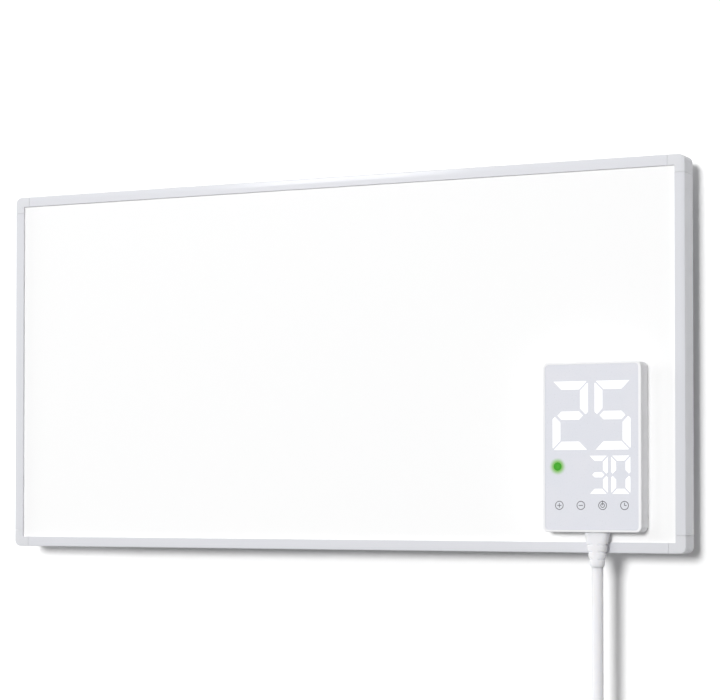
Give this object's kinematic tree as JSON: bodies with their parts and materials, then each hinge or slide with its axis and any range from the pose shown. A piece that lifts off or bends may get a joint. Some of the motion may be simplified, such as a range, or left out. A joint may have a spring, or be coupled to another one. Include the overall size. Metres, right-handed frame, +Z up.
{
  "type": "infrared panel heater",
  "caption": "Flat wall-hung infrared panel heater with a silver frame, a white front plate, a control box with lit digits on its front, and a mains cord with a plug.",
  "frame": {"origin": "centre of the four wall screw holes, on the wall's surface", "axes": "+Z up, +Y into the wall, +X to the right as seen from the front; the front faces -Y"},
  "size_m": [0.6, 0.0532, 0.6385],
  "materials": {
    "anodised_aluminium": "satin anodised",
    "corner_plastic": "moulded, painted silver grey",
    "white_enamel": "smooth white powder coat",
    "pale_seal": "matt",
    "black_seal": "matt",
    "heating_film": "laminated film",
    "copper": "bare strip",
    "mineral_board": "matted fibre",
    "galvanised_steel": "zinc coated sheet",
    "zinc_steel": "bright zinc",
    "grey_rubber": "matt",
    "case_white": "fine spark-eroded texture",
    "face_grey": "satin acrylic",
    "lit_white": "lit diffuser",
    "lamp_green": "lit lens",
    "legend_grey": "printed",
    "display_white": "moulded",
    "board_green": "solder resist",
    "black_plastic": "moulded",
    "capacitor_blue": "moulded",
    "fuse_glass": "clear with metal caps",
    "live_brown": "silicone sleeve",
    "neutral_blue": "silicone sleeve",
    "earth_green": "silicone sleeve",
    "sensor_grey": "sleeve",
    "cord_white": "smooth flexible PVC",
    "tie_grey": "woven hook-and-loop",
    "nickel": "nickel plated",
    "contact_brass": "sprung strip"
  },
  "bodies": {
    "wall_mount": {"wall_bracket_left": "galvanised_steel", "wall_bracket_right": "galvanised_steel", "wall_studs": "zinc_steel"},
    "panel": {"back_cover": "galvanised_steel", "bus_bar_lower": "copper", "bus_bar_upper": "copper", "cable_grommet": "black_seal", "circuit_board": "board_green", "clamp_screws": "zinc_steel", "control_case_screws": "zinc_steel", "control_face": "face_grey", "control_front_shell": "case_white", "control_mounting_screws": "zinc_steel", "control_rear_shell": "case_white", "cord_clamp": "case_white", "cord_coil": "cord_white", "cord_drop": "cord_white", "cord_inner_end": "cord_white", "cord_tail": "cord_white", "cord_tie": "tie_grey", "corner_bottom_left": "corner_plastic", "corner_bottom_right": "corner_plastic", "corner_screws": "zinc_steel", "corner_top_left": "corner_plastic", "corner_top_right": "corner_plastic", "display_module": "display_white", "dropper_capacitor": "capacitor_blue", "earth_terminal": "zinc_steel", "frame_bottom": "anodised_aluminium", "frame_left": "anodised_aluminium", "frame_right": "anodised_aluminium", "frame_top": "anodised_aluminium", "front_plate": "white_enamel", "fuse": "fuse_glass", "hanger_plate_left": "galvanised_steel", "hanger_plate_right": "galvanised_steel", "hanger_rivets": "zinc_steel", "heating_film": "heating_film", "insulation_board": "mineral_board", "key_legends": "legend_grey", "mounting_pad": "black_seal", "plate_seal": "pale_seal", "plug_body": "cord_white", "plug_earth_clips": "contact_brass", "plug_pins": "nickel", "power_lamp": "lamp_green", "power_relay": "black_plastic", "spacer_screws": "zinc_steel", "strain_relief": "cord_white", "temperature_digits": "lit_white", "temperature_sensor": "black_plastic", "terminal_block": "display_white", "thermal_cutout": "black_plastic", "timer_digits": "lit_white", "touch_pads": "black_plastic", "wall_spacers": "grey_rubber", "wire_earth": "earth_green", "wire_live": "live_brown", "wire_neutral": "neutral_blue", "wire_sensor": "sensor_grey"}
  },
  "joints": [
    {"name": "panel_lift", "type": "slide", "parent": "wall_mount", "child": "panel", "axis": [0, 0, 1], "range_m": [0, 0.012]}
  ]
}
